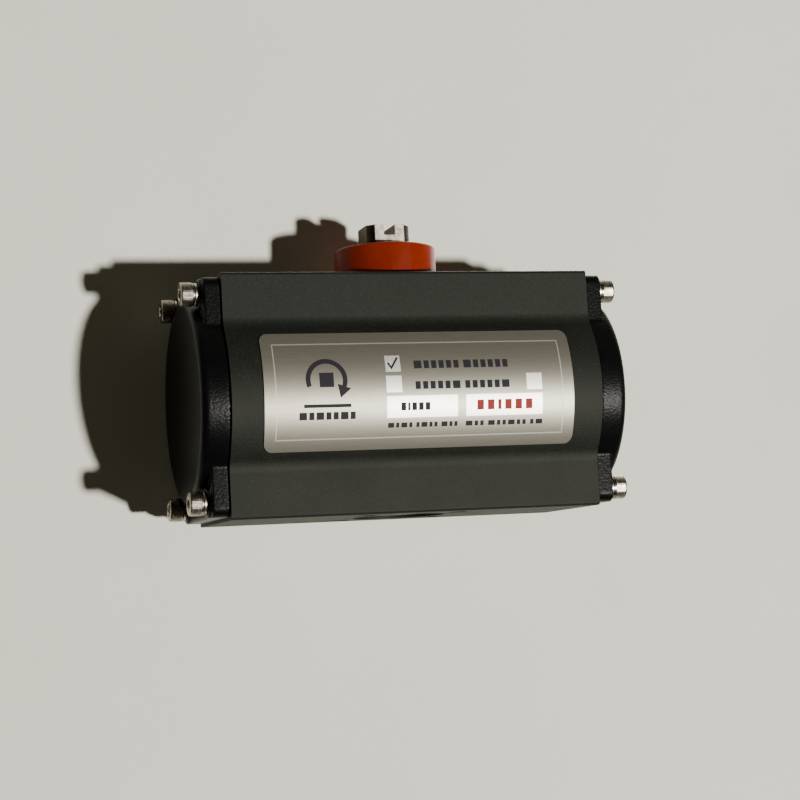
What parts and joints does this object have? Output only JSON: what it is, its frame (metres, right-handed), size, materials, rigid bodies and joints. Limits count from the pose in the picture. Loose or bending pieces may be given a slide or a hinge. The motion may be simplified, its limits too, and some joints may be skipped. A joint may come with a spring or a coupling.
{
  "type": "rotary pneumatic actuator",
  "caption": "Double-acting rack-and-pinion quarter-turn pneumatic actuator with a position indicator, slotted shaft and standard valve and solenoid faces.",
  "frame": {"origin": "on the output shaft's axis, in the bottom face that stands on the valve", "axes": "+Z along the shaft towards the indicator, +X along the cylinder towards the right end cap, -Y out of the face that carries the label"},
  "size_m": [0.166, 0.0774, 0.1094],
  "materials": {
    "body_anodised": "dark grey hard-anodised extrusion, matt",
    "cap_black": "black coating on a die casting, semi-gloss with a fine sparkle",
    "screw_stainless": "knurled stainless steel",
    "washer_steel": "dull spring steel",
    "shaft_steel": "nickel-plated steel, satin",
    "indicator_orange": "orange-red moulded plastic",
    "piston_aluminium": "machined die casting",
    "acetal": "natural acetal",
    "nylon_dark": "dark filled nylon",
    "nitrile": "black nitrile rubber",
    "label_silver": "brushed silver foil with dark print"
  },
  "bodies": {
    "housing": {"body": "body_anodised", "cap_screw_left_lower_front": "screw_stainless", "cap_screw_left_lower_rear": "screw_stainless", "cap_screw_left_upper_front": "screw_stainless", "cap_screw_left_upper_rear": "screw_stainless", "cap_screw_right_lower_front": "screw_stainless", "cap_screw_right_lower_rear": "screw_stainless", "cap_screw_right_upper_front": "screw_stainless", "cap_screw_right_upper_rear": "screw_stainless", "cap_seal_left": "nitrile", "cap_seal_right": "nitrile", "channel_seal_left": "nitrile", "channel_seal_right": "nitrile", "label_plate": "label_silver", "left_end_cap": "cap_black", "lock_washer_left_lower_front": "washer_steel", "lock_washer_left_lower_rear": "washer_steel", "lock_washer_left_upper_front": "washer_steel", "lock_washer_left_upper_rear": "washer_steel", "lock_washer_right_lower_front": "washer_steel", "lock_washer_right_lower_rear": "washer_steel", "lock_washer_right_upper_front": "washer_steel", "lock_washer_right_upper_rear": "washer_steel", "lower_bush": "acetal", "right_end_cap": "cap_black", "thrust_bearing": "acetal", "upper_bush": "acetal"},
    "output_shaft": {"circlip": "washer_steel", "indicator_ring": "indicator_orange", "lower_shaft_seal": "nitrile", "pinion": "shaft_steel", "thrust_washer": "screw_stainless", "upper_shaft_seal": "nitrile"},
    "right_piston": {"piston_guide_ring_right": "nylon_dark", "piston_right": "piston_aluminium", "piston_seal_right": "nitrile", "rack_pad_right": "acetal"},
    "left_piston": {"piston_guide_ring_left": "nylon_dark", "piston_left": "piston_aluminium", "piston_seal_left": "nitrile", "rack_pad_left": "acetal"}
  },
  "joints": [
    {"name": "pinion_turn", "type": "hinge", "parent": "housing", "child": "output_shaft", "pos_m": [0, 0, 0], "axis": [0, 0, 1], "range_deg": [0, 90]},
    {"name": "piston_right_slide", "type": "slide", "parent": "housing", "child": "right_piston", "axis": [1, 0, 0], "range_m": [0, 0.0166]},
    {"name": "piston_left_slide", "type": "slide", "parent": "housing", "child": "left_piston", "axis": [-1, 0, 0], "range_m": [0, 0.0166]}
  ],
  "couplings": [
    {"joint": "piston_right_slide", "follows": "pinion_turn", "m_per_rad": 0.0105},
    {"joint": "piston_left_slide", "follows": "pinion_turn", "m_per_rad": 0.0105}
  ]
}
